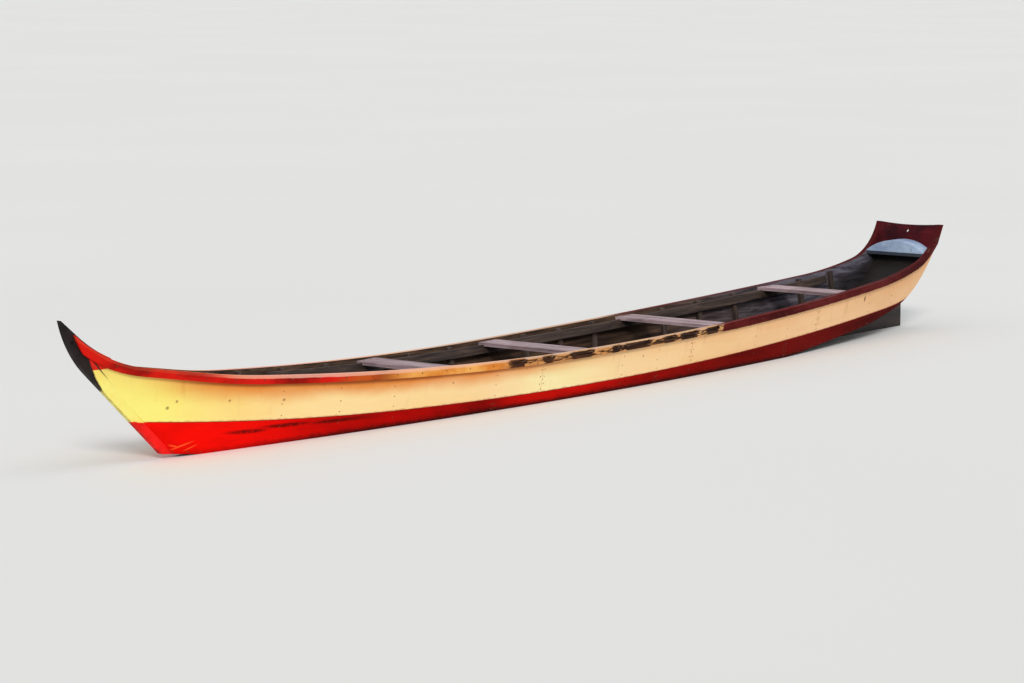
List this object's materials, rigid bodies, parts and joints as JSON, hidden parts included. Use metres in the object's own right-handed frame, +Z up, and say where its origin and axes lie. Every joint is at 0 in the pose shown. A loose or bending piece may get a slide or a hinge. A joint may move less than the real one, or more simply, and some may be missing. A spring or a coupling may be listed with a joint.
{
  "type": "wooden river canoe",
  "caption": "Long narrow plank-built river canoe with a flat rockered bottom, raked stem, high stern transom, rub rails, ribs and thwarts.",
  "frame": {"origin": "middle of the boat's box, on the floor that its flat bottom stands on", "axes": "+X to the bow, +Y to port, +Z up"},
  "size_m": [9.6962, 1.0189, 1.0275],
  "materials": {
    "red_paint": "weathered oil paint on planks",
    "cream_paint": "weathered oil paint on planks",
    "rail_paint": "worn dark red paint over bare wood",
    "bottom_wood": "tarred and waterlogged wood",
    "stem_wood": "dark tarred wood",
    "skeg_wood": "dark waterlogged wood",
    "transom_paint": "weathered dark red paint",
    "deck_paint": "chalky pale paint",
    "thwart_wood": "sun-bleached bare wood",
    "inside_wood": "weathered bare wood"
  },
  "bodies": {
    "root": {"bottom_strake_centre": "bottom_wood", "bottom_strake_port": "bottom_wood", "bottom_strake_starboard": "bottom_wood", "breasthook": "inside_wood", "floor_timbers": "inside_wood", "lower_strake_port": "red_paint", "lower_strake_starboard": "red_paint", "ribs_port": "inside_wood", "ribs_starboard": "inside_wood", "rub_rail_port_aft": "rail_paint", "rub_rail_port_fore": "rail_paint", "rub_rail_port_middle": "rail_paint", "rub_rail_starboard_aft": "rail_paint", "rub_rail_starboard_fore": "rail_paint", "rub_rail_starboard_middle": "rail_paint", "skeg": "skeg_wood", "stem_post": "stem_wood", "stern_deck": "deck_paint", "stern_deck_beam": "deck_paint", "thwart_1": "thwart_wood", "thwart_2": "thwart_wood", "thwart_3": "thwart_wood", "thwart_4": "thwart_wood", "thwart_riser_port": "inside_wood", "thwart_riser_starboard": "inside_wood", "transom": "transom_paint", "upper_strake_port": "cream_paint", "upper_strake_starboard": "cream_paint"}
  },
  "joints": []
}
